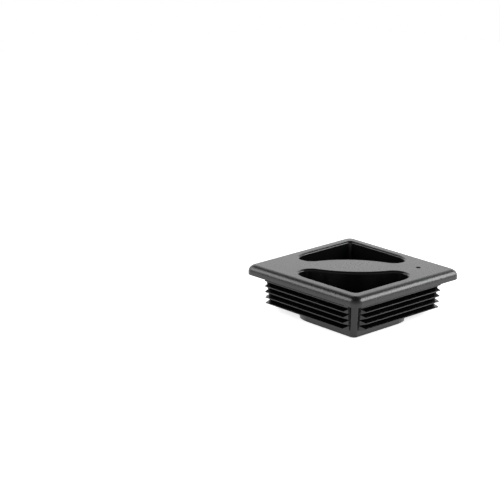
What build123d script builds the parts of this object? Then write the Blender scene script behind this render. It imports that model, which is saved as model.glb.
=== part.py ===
from build123d import *
import math
import os

os.makedirs("parts", exist_ok=True)

# Head that covers the sawn end of the tube
flange_side = 108.0
flange_thickness = 6.8
flange_corner_radius = 8.2
flange_edge_round = 4.8        # soft shoulder round the top of the head
cap_height = 33.0              # face of the head down to the feet of the wells
plate_thickness = 3.2          # skin of the head over the hollows that are open below
draft = 7.0                    # taper of every standing wall, in degrees

# Plug that goes into the tube
head_overhang = 8.0            # the head stands out this far past the smooth body
root_corner_radius = 4.2       # the same all the way down
wall = 2.7
well_projection = 3.4          # the wells stand this much lower than the skirt

# Retaining fins, square on top and sloped below
fin_count = 5
fin_pitch = 4.08
fin_first_drop = 9.4           # face of the head down to the top of the first fin
fin_tip_inset = 5.5            # tips of the first fin, in from the sides of the head
fin_tip_step = 0.22            # each fin is this much narrower across than the one above
fin_tip_land = 0.4
fin_root_height = 2.8
fin_corner_gap = 7.5           # the fins stop this far short of the body's corners
fin_bite = 1.2                 # how far the fins are rooted in the wall
relief_inset = 3.5             # narrow recess that follows the corner, this far in from it
relief_width = 1.4
relief_depth = 1.3
relief_head_drop = 7.4         # face of the head down to the recess's upper end
relief_foot_drop = 27.3        # and to its lower end

# Finger pockets, one each side of the diagonal strap, measured at the face of the head
pocket_corner_radius = 2.6
pocket_side_end = 1.2          # the outer sides run straight this far past the middle,
pocket_side_radius = 25.0      # bend in slowly
pocket_side_turn = 22.0        # through this many degrees
pocket_end_radius = 9.2        # and then tightly, round the acute ends
strap_middle_width = 30.8
rim_break = 1.1                # edge taken off round the mouth of each pocket
well_wall = 2.8
floor_drop = 22.7              # face of the head down to the perforated floor
floor_thickness = 2.0

# Vent holes in the floors, on one square grid, and the small hole through the head
vent_pitch = 7.88
vent_diameter = 3.2
vent_margin = 12.0             # least distance from the side of the body to a hole's middle
vent_shift = 0.5               # each floor's holes lie this much nearer its outer walls
tie_hole_diameter = 3.0
tie_hole_inset = 21.332        # from the two sides of the head nearest to it

# Sizes that follow from the ones above
lean = math.radians(draft)
fall = math.tan(lean)
underside = cap_height - flange_thickness
root_across = flange_side - 2 * head_overhang      # smooth body, at the underside of the head
fin_tip_across = flange_side - 2 * fin_tip_inset   # first fin
fin_length = root_across - 2 * fin_corner_gap
floor_top = cap_height - floor_drop
clear = 1.0                    # cutting shapes run this far past the faces they open

# The vent grid has as many columns as fit, one row more, and along each outer wall as many
# holes as leave the diagonal wall of the strap whole
vent_grid_columns = 2 * int((root_across / 2 - vent_margin) / vent_pitch) + 1
vent_grid_rows = vent_grid_columns + 1
strap_at_floor = strap_middle_width / 2 + floor_drop * fall
corner_sum = (vent_grid_columns + vent_grid_rows - 2) / 2 * vent_pitch + 2 * vent_shift
vent_row = 1 + int((corner_sum - (strap_at_floor + vent_diameter / 2) * math.sqrt(2)) / vent_pitch)


def root_half(z):
    """Half width of the smooth drafted body at height z."""
    return root_across / 2 - (underside - z) * fall


def drafted_block(low, high, inset):
    """Square block with drafted sides, made where its two side views meet."""
    for view, mode in ((Plane.XZ, Mode.ADD), (Plane.YZ, Mode.INTERSECT)):
        wide, narrow = root_half(high) - inset, root_half(low) - inset
        with BuildSketch(view) as outline:
            with BuildLine():
                Polyline((-wide, high), (wide, high), (narrow, low), (-narrow, low), close=True)
            make_face()
        extrude(outline.sketch, amount=wide + clear, both=True, mode=mode)


def draw_pocket(inset):
    """Pocket outline, drawn into the line being built, shrunk on all sides by the inset."""
    edge = root_half(cap_height) - wall - inset
    side_r, end_r = pocket_side_radius - inset, pocket_end_radius - inset
    strap_half = strap_middle_width / 2 + inset
    turn = math.radians(pocket_side_turn)
    side = Vector(pocket_side_end, edge - side_r)
    end = side + Vector(math.sin(turn), math.cos(turn)) * (side_r - end_r)
    # the end circle in axes along and across the strap, and the strap arc that touches it
    u, v = (end.X + end.Y) / math.sqrt(2), (end.Y - end.X) / math.sqrt(2)
    gap = v - strap_half
    strap_r = (u**2 + gap**2 - end_r**2) / (2 * (end_r - gap))
    bulge = Vector(strap_r - strap_half, strap_half - strap_r) / math.sqrt(2)
    touch = bulge + (end - bulge) * (strap_r / (strap_r + end_r))
    crown = Vector(-strap_half, strap_half) / math.sqrt(2)
    facing = math.atan2(touch.Y - end.Y, touch.X - end.X)
    middle = (math.pi / 2 - turn + facing) / 2
    nose = end + Vector(math.cos(middle), math.sin(middle)) * end_r
    slow = side + Vector(math.sin(turn / 2), math.cos(turn / 2)) * side_r
    join = side + Vector(math.sin(turn), math.cos(turn)) * side_r
    Polyline((-edge, -side.X), (-edge, edge), (side.X, edge))
    ThreePointArc((side.X, edge), slow, join)
    ThreePointArc(join, nose, touch)
    ThreePointArc(touch, crown, (-touch.Y, -touch.X))
    ThreePointArc((-touch.Y, -touch.X), (-nose.Y, -nose.X), (-join.Y, -join.X))
    ThreePointArc((-join.Y, -join.X), (-slow.Y, -slow.X), (-edge, -side.X))


across_strap = Plane(origin=(0, 0, 0), x_dir=(1, 1, 0), z_dir=(-1, 1, 0))

# Hollow below the head: everything inside the skirt that is not a well, and the step by
# which the wells stand lower than the skirt
with BuildPart() as hollow:
    drafted_block(well_projection / 2, cap_height - plate_thickness, wall)
    fillet(hollow.edges().group_by(Axis.Z)[1], root_corner_radius - wall)
    with BuildSketch(Plane.XY.offset(-clear)):
        Rectangle(root_across, root_across)
    extrude(amount=well_projection + clear)
    with BuildSketch(Plane.XY.offset(cap_height)):
        with BuildLine():
            draw_pocket(-well_wall)
        make_face()
        mirror(about=across_strap)
    extrude(amount=-(cap_height + 2 * clear), taper=draft, mode=Mode.SUBTRACT)

# Room inside the two wells, above and below their floors
with BuildPart() as wells:
    with BuildSketch(Plane.XY.offset(cap_height)):
        with BuildLine():
            draw_pocket(0)
        make_face()
        mirror(about=across_strap)
    extrude(amount=-(cap_height + clear), taper=draft)
    uprights = wells.edges().group_by(Axis((0, 0, 0), (-1, 1, 0)))
    fillet(uprights[0] + uprights[-1], pocket_corner_radius)
    with BuildSketch(Plane.XY.offset(floor_top - floor_thickness)):
        Rectangle(root_across, root_across)
    extrude(amount=floor_thickness, mode=Mode.SUBTRACT)

with BuildPart() as end_cap:
    # drafted body, solid to begin with, its corners equally round all the way down
    drafted_block(0, underside, 0)
    fillet(end_cap.edges().group_by(Axis.Z)[1], root_corner_radius)

    # two reliefs in each wall, cut square to it and leaning with the corners beside them
    head = (flange_thickness - relief_head_drop) / math.cos(lean)
    foot = (flange_thickness - relief_foot_drop) / math.cos(lean)
    far = root_across / 2 - relief_inset
    near = far - relief_width
    slope = math.sin(lean)
    for turn in range(4):
        out = Vector(1, 0, 0).rotate(Axis.Z, 90 * turn)
        face = Plane(origin=out * (root_across / 2) + Vector(0, 0, underside),
                     x_dir=out.rotate(Axis.Z, 90),
                     z_dir=out * math.cos(lean) - Vector(0, 0, slope))
        with BuildSketch(face):
            with BuildLine():
                Polyline((near + head * slope, head), (far + head * slope, head),
                         (far + foot * slope, foot), (near + foot * slope, foot), close=True)
            make_face()
            mirror(about=Plane.YZ)
        extrude(amount=-relief_depth, mode=Mode.SUBTRACT)

    # head, with its shoulder rounded before the pockets are cut
    with BuildSketch(Plane.XY.offset(underside)):
        RectangleRounded(flange_side, flange_side, flange_corner_radius)
    extrude(amount=flange_thickness)
    fillet(end_cap.edges().group_by(Axis.Z)[-1], flange_edge_round)
    add(hollow.part, mode=Mode.SUBTRACT)
    add(wells.part, mode=Mode.SUBTRACT)
    chamfer(end_cap.faces().sort_by(Axis.Z)[-1].inner_wires().edges(), rim_break)

    # retaining fins on the four sides
    for turn in range(4):
        a = math.radians(90 * turn)
        side = Plane(origin=(0, 0, 0), x_dir=(math.cos(a), math.sin(a), 0),
                     z_dir=(math.sin(a), -math.cos(a), 0))
        with BuildSketch(side):
            for i in range(fin_count):
                top = cap_height - fin_first_drop - i * fin_pitch
                tip = (fin_tip_across - i * fin_tip_step) / 2
                low = top - fin_root_height
                deep = root_half(low) - fin_bite
                with BuildLine():
                    Polyline((deep, top), (tip, top), (tip, top - fin_tip_land),
                             (root_half(low), low), (deep, low), close=True)
                make_face()
        extrude(amount=fin_length / 2, both=True)

    # vent holes, stepping in from the outer corner of each floor
    with BuildSketch(Plane.XY.offset(floor_top)):
        for i in range(vent_row):
            for j in range(vent_row - i):
                x = ((vent_grid_columns - 1) / 2 - i) * vent_pitch + vent_shift
                y = ((vent_grid_rows - 1) / 2 - j) * vent_pitch + vent_shift
                with Locations((-x, y), (x, -y)):
                    Circle(vent_diameter / 2)
    extrude(amount=-floor_thickness, mode=Mode.SUBTRACT)

    # small hole through the head near one end of the strap
    with BuildSketch(Plane.XY.offset(cap_height)):
        with Locations((flange_side / 2 - tie_hole_inset, flange_side / 2 - tie_hole_inset)):
            Circle(tie_hole_diameter / 2)
    extrude(amount=-plate_thickness, mode=Mode.SUBTRACT)

end_cap.part.label = "end_cap"
export_step(end_cap.part, "parts/end_cap.step")
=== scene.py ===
import math

import bpy
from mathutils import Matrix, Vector


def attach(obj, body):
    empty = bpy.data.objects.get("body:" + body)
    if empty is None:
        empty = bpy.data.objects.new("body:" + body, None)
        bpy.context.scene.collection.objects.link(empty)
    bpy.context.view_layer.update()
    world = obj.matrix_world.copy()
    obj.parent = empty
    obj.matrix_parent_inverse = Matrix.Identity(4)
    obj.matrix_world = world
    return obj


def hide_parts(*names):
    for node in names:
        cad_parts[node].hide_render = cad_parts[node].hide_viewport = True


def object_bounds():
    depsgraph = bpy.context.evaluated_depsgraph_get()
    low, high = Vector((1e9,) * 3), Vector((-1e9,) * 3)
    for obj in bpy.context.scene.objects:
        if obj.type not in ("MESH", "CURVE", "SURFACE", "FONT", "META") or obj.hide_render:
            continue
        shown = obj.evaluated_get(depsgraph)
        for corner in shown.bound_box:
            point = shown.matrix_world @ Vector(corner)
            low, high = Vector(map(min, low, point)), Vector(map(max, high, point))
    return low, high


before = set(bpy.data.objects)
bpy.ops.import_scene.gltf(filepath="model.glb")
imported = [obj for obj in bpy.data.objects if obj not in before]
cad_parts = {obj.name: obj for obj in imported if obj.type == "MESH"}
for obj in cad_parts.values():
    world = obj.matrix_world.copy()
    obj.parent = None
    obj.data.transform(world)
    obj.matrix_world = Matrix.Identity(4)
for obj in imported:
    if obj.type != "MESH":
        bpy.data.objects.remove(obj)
cad_low, cad_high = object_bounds()

# Moulding
# The whole cap is one shot of charcoal-black polypropylene, injection moulded face down.
# The mould is spark-textured where the head shows and plainly polished everywhere below it.


class Sock:
    """An output of a shader node that takes part in Python expressions."""

    def __init__(self, tree, output):
        self.tree = tree
        self.output = output

    def node(self, kind, settings=None, out=0, **sockets):
        """Any other node: its settings first, then the values or links of its sockets."""
        made = self.tree.nodes.new(kind)
        for name, value in (settings or {}).items():
            setattr(made, name, value)
        for name, value in sockets.items():
            key = int(name[1:]) if name[0] == "i" and name[1:].isdigit() else name.replace("_", " ")
            if isinstance(value, Sock):
                self.tree.links.new(value.output, made.inputs[key])
            else:
                made.inputs[key].default_value = value
        return Sock(self.tree, made.outputs[out])

    def maths(self, operation, *terms):
        return self.node("ShaderNodeMath", {"operation": operation},
                         **{f"i{k}": term for k, term in enumerate(terms)})

    def __add__(self, other):
        return self.maths("ADD", self, other)

    def __sub__(self, other):
        return self.maths("SUBTRACT", self, other)

    def __mul__(self, other):
        return self.maths("MULTIPLY", self, other)

    def __rsub__(self, other):
        return self.maths("SUBTRACT", other, self)

    def __abs__(self):
        return self.maths("ABSOLUTE", self)

    __radd__ = __add__
    __rmul__ = __mul__

    def at_least(self, other):
        return self.maths("MAXIMUM", self, other)

    def step(self, low, high):
        """0 below low, 1 above high, and smooth between them."""
        return self.node("ShaderNodeMapRange", {"interpolation_type": "SMOOTHSTEP"},
                         Value=self, From_Min=low, From_Max=high)


charcoal = (0.0040, 0.0040, 0.0042, 1)
charcoal_bloom = (0.0100, 0.0101, 0.0106, 1)
grained_roughness = 0.29
polished_roughness = 0.15
flow_unevenness = 0.04
grain_unevenness = 0.12
grain_size = 0.0011
grain_height = 0.00012
flow_scale = 45.0
head_underside = 0.0262
mouth_reach = 0.0452           # the pocket mouths end inside this
rim_drop = 0.0011              # broken edge round the mouths
edge_softness = 0.00012
rim_softness = 0.0008
twist = 0.264                  # drop per x times y: the strap's ends sag, the others rise

moulding = bpy.data.materials.new("charcoal_moulding")
moulding.use_nodes = True
tree = moulding.node_tree
shader = tree.nodes["Principled BSDF"]
place = Sock(tree, tree.nodes.new("ShaderNodeTexCoord").outputs["Object"])
side_x, side_y, level = (place.node("ShaderNodeSeparateXYZ", out=k, Vector=place)
                         for k in range(3))
height = level + side_x * side_y * twist

# The spark texture covers the face, the shoulder and the sides of the head. Heights are taken
# as they were before the twist.
on_head = height.step(head_underside - 0.0001, head_underside + 0.0001)
outside_mouths = abs(side_x).at_least(abs(side_y)).step(mouth_reach, mouth_reach + 0.0003)
on_face = height.step(cad_high.z - 0.0003, cad_high.z - 0.0001)
textured = on_head * outside_mouths.at_least(on_face)

speckle = place.node("ShaderNodeTexNoise", {"noise_dimensions": "3D"},
                     Vector=place, Scale=1 / grain_size, Detail=2.0, Roughness=0.6)
flow = place.node("ShaderNodeTexNoise", {"noise_dimensions": "3D"},
                  Vector=place, Scale=flow_scale, Detail=3.0, Roughness=0.55)
tint = place.node("ShaderNodeMix", {"data_type": "RGBA"}, out=2,
                  i0=(speckle * 0.6 + flow * 0.4) * textured, i6=charcoal, i7=charcoal_bloom)
tree.links.new(tint.output, shader.inputs["Base Color"])
gloss = polished_roughness + textured * (grained_roughness - polished_roughness) \
    + (flow - 0.5) * flow_unevenness + (speckle - 0.5) * textured * grain_unevenness
tree.links.new(gloss.output, shader.inputs["Roughness"])
soft_edge = place.node("ShaderNodeBevel", {"samples": 6}, Radius=edge_softness)
soft_rim = place.node("ShaderNodeBevel", {"samples": 8}, Radius=rim_softness)
near_rim = height.step(cad_high.z - rim_drop - rim_softness, cad_high.z - rim_drop)
softened = place.node("ShaderNodeMix", {"data_type": "VECTOR"}, out=1,
                      i0=near_rim, i4=soft_edge, i5=soft_rim)
surface = place.node("ShaderNodeBump", Height=speckle * textured, Distance=grain_height,
                     Strength=1.0, Normal=softened)
tree.links.new(surface.output, shader.inputs["Normal"])
shader.inputs["IOR"].default_value = 1.5

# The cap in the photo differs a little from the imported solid: the plug is narrower, the fins are
# deeper, rise towards the wall and end on a slant, the head has tighter corners, and the whole
# has twisted about the strap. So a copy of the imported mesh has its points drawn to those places.
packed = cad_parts["end_cap"].data
touch = 0.00005                # a point this near to a place lies on it

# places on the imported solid
draft = math.tan(math.radians(7.0))
plug_half = 0.0460             # half width of the body at the underside of the head
skin_depth = 0.0016            # more than the depth of the slots, less than the wall
past_fins = 0.0490             # beyond every fin, short of the edge of the head
tip_reach = 0.0003             # whatever stands out further than this is the tip of a fin
fin_tops = [0.0236 - 0.00408 * k for k in range(5)]
fin_end = 0.0385
post_side = 0.0425             # outer side of the slots, at the underside of the head
skirt_foot = 0.0034
tie_hole = 0.032668
hole_edge = 0.0016
corner_middle = 0.0458
packed_corner = 0.0082

# the real cap's sizes against them
draw_in = 0.0011               # the plug is narrower by this all round
fade = 0.006                   # and its inside follows over this depth
fin_gain = 0.0007              # the first fin is longer by this at either end
fin_gain_foot = 0.0085         # and at this height the gain has gone
tip_cut = 0.0009               # the tips end this far short of the roots
tip_gain = 0.0006
tip_thickening = 0.0002
top_rise = 0.0010
hole_growth = 1.17
real_corner = 0.0060


def fin_half(z):
    """Half the length of the fins at height z, where their ends lean with the slots."""
    return fin_end + fin_gain * max(z - fin_gain_foot, 0) / (fin_tops[0] - fin_gain_foot)


def outward(value, amount):
    """The value moved away from the middle of the cap."""
    return math.copysign(abs(value) + amount, value)


def turn_corner(c, s):
    """Reach of the real corner in the direction (c, s) from its middle, and the way it faces."""
    inset = packed_corner - real_corner
    if min(c, s) / max(c, s) < inset / packed_corner:
        return packed_corner / max(c, s), ((1, 0) if c > s else (0, 1))
    edge = inset * (c + s) + math.sqrt(real_corner ** 2 - inset ** 2 * (1 - 2 * c * s))
    return edge, ((edge * c - inset) / real_corner, (edge * s - inset) / real_corner)


places, tips, turned = [], set(), {}
for corner in packed.vertices:
    x, y, z = corner.co
    wall = plug_half - (head_underside - z) * draft
    reach, along = max(abs(x), abs(y)), min(abs(x), abs(y))
    out = 0 if abs(x) > abs(y) else 1
    point = [x, y]
    over = [abs(value) - corner_middle for value in point]
    if min(over) > 0:
        edge, facing = turn_corner(*(value / math.hypot(*over) for value in over))
        point = [math.copysign(corner_middle + value * edge / packed_corner, side)
                 for value, side in zip(over, point)]
        turned[corner.index] = [math.copysign(value, side) for value, side in zip(facing, point)]
    elif skirt_foot + touch < z < head_underside + touch and wall - skin_depth < reach < past_fins:
        on_top = min(abs(z - top) for top in fin_tops) < touch
        on_end = abs(along - fin_end) < touch
        if reach > wall + tip_reach:
            tips.add(corner.index)
            point[out] = outward(point[out], tip_gain)
            if on_end:
                point[1 - out] = math.copysign(fin_half(z) - tip_cut, point[1 - out])
            if not on_top:
                z -= tip_thickening
        elif along < fin_end + touch:
            rise = top_rise if on_top and on_end else 0
            point[out] = outward(point[out], rise * draft - draw_in)
            z += rise
            if on_end:
                point[1 - out] = math.copysign(fin_half(z), point[1 - out])
        else:
            span = post_side - (head_underside - z) * draft - fin_end
            point = [outward(value, -draw_in * min((abs(value) - fin_end) / span, 1))
                     for value in point]
    elif z < head_underside - touch:
        point = [outward(value, -draw_in * max(1 - (wall - abs(value)) / fade, 0))
                 for value in point]
    elif math.hypot(x - tie_hole, y - tie_hole) < hole_edge:
        point = [tie_hole + (value - tie_hole) * hole_growth for value in point]
    x, y = point
    places.append((x, y, z - twist * x * y))

shape = bpy.data.meshes.new("end_cap_moulding")
shape.from_pydata(places, [], [tuple(face.vertices) for face in packed.polygons])
shape.update()
shape.shade_smooth()

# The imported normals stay, except on the fins' tips, which get flat ones, and round the head's
# corners, where they are turned to the tighter curve
bends = [Vector(bend.vector) for bend in packed.corner_normals]
for face in shape.polygons:
    at_tip = any(k in tips for k in face.vertices)
    for corner, k in zip(face.loop_indices, face.vertices):
        if at_tip:
            bends[corner] = face.normal.copy()
        elif k in turned:
            flat = math.hypot(bends[corner].x, bends[corner].y)
            bends[corner] = Vector([flat * value for value in turned[k]] + [bends[corner].z])
shape.normals_split_custom_set(bends)
shape.materials.append(moulding)
cap = bpy.data.objects.new("end_cap_moulding", shape)
bpy.context.scene.collection.objects.link(cap)
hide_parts("end_cap")
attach(cap, "root")

# Studio
# A white sheet of paper under the cap, a bright backdrop behind it, dim walls and a dark ceiling,
# with a softbox at the right and a weaker one at the left. The paper keeps the cap's soft shadow.
floor_mesh = bpy.data.meshes.new("sweep")
half = 1.5
floor_mesh.from_pydata([(-half, -half, 0), (half, -half, 0), (half, half, 0), (-half, half, 0)],
                       [], [(0, 1, 2, 3)])
sweep = bpy.data.objects.new("sweep", floor_mesh)
bpy.context.scene.collection.objects.link(sweep)
paper = bpy.data.materials.new("white_paper")
paper.use_nodes = True
tree = paper.node_tree
shader = tree.nodes["Principled BSDF"]
shader.inputs["Base Color"].default_value = (0.86, 0.86, 0.86, 1)
shader.inputs["Roughness"].default_value = 0.9
ray = Sock(tree, tree.nodes.new("ShaderNodeLightPath").outputs["Is Camera Ray"])
glow, glow_seen = 0.70, 0.05
lift = ray.node("ShaderNodeEmission", Strength=ray * glow_seen + glow)
both = ray.node("ShaderNodeAddShader", i0=Sock(tree, shader.outputs[0]), i1=lift)
tree.links.new(both.output, tree.nodes["Material Output"].inputs["Surface"])
floor_mesh.materials.append(paper)

world = bpy.data.worlds.new("studio")
bpy.context.scene.world = world
world.use_nodes = True
tree = world.node_tree
walls = tree.nodes["Background"]
walls.inputs["Color"].default_value = (1, 1, 1, 1)
walls.inputs["Strength"].default_value = 0.55
direction = Sock(tree, tree.nodes.new("ShaderNodeTexCoord").outputs["Generated"])
ceiling = direction.node("ShaderNodeBackground", Color=(1, 1, 1, 1), Strength=0.08)
paper_white = direction.node("ShaderNodeBackground", Color=(1, 1, 1, 1), Strength=1.0)
upward = direction.node("ShaderNodeSeparateXYZ", out=2, Vector=direction).step(0.48, 0.74)
backdrop = direction.node("ShaderNodeBackground", Color=(1, 1, 1, 1), Strength=1.50)
away = (-0.673, 0.740, 0.0)
behind = direction.node("ShaderNodeVectorMath", {"operation": "DOT_PRODUCT"}, out=1,
                        i0=direction, i1=away).step(0.0, 0.5)
walled = direction.node("ShaderNodeMixShader", i0=behind, i1=Sock(tree, walls.outputs[0]),
                        i2=backdrop)
room = direction.node("ShaderNodeMixShader", i0=upward, i1=walled, i2=ceiling)
seen = Sock(tree, tree.nodes.new("ShaderNodeLightPath").outputs["Is Camera Ray"])
view = direction.node("ShaderNodeMixShader", i0=seen, i1=room, i2=paper_white)
tree.links.new(view.output, tree.nodes["World Output"].inputs["Surface"])


def softbox(name, azimuth, elevation, power):
    """A rectangular soft light one metre from the middle of the head, and facing it."""
    data = bpy.data.lights.new(name, "AREA")
    data.shape = "RECTANGLE"
    data.size = 0.60
    data.size_y = 0.50
    data.energy = power
    lamp = bpy.data.objects.new(name, data)
    bpy.context.scene.collection.objects.link(lamp)
    turn, rise = math.radians(azimuth), math.radians(elevation)
    offset = Vector((math.cos(rise) * math.cos(turn), math.cos(rise) * math.sin(turn),
                     math.sin(rise)))
    lamp.location = Vector((0, 0, cad_high.z)) + offset
    lamp.rotation_euler = (-offset).to_track_quat("-Z", "Y").to_euler()


softbox("right_softbox", 52, 28, 7.5)
softbox("left_softbox", -138, 30, 4.2)

# Camera
# Long lens, a little above the head of the cap, with the front corner of the cap towards it.
camera_data = bpy.data.cameras.new("camera")
camera_data.sensor_fit = "HORIZONTAL"
camera_data.sensor_width = 36.0
camera_data.lens = 83.52
camera = bpy.data.objects.new("camera", camera_data)
bpy.context.scene.collection.objects.link(camera)
camera.location = (0.53425, -0.57931, 0.27462)
camera.rotation_euler = [math.radians(angle) for angle in (73.621, -0.427, 48.102)]
bpy.context.scene.camera = camera

bpy.context.scene.view_settings.view_transform = "Standard"
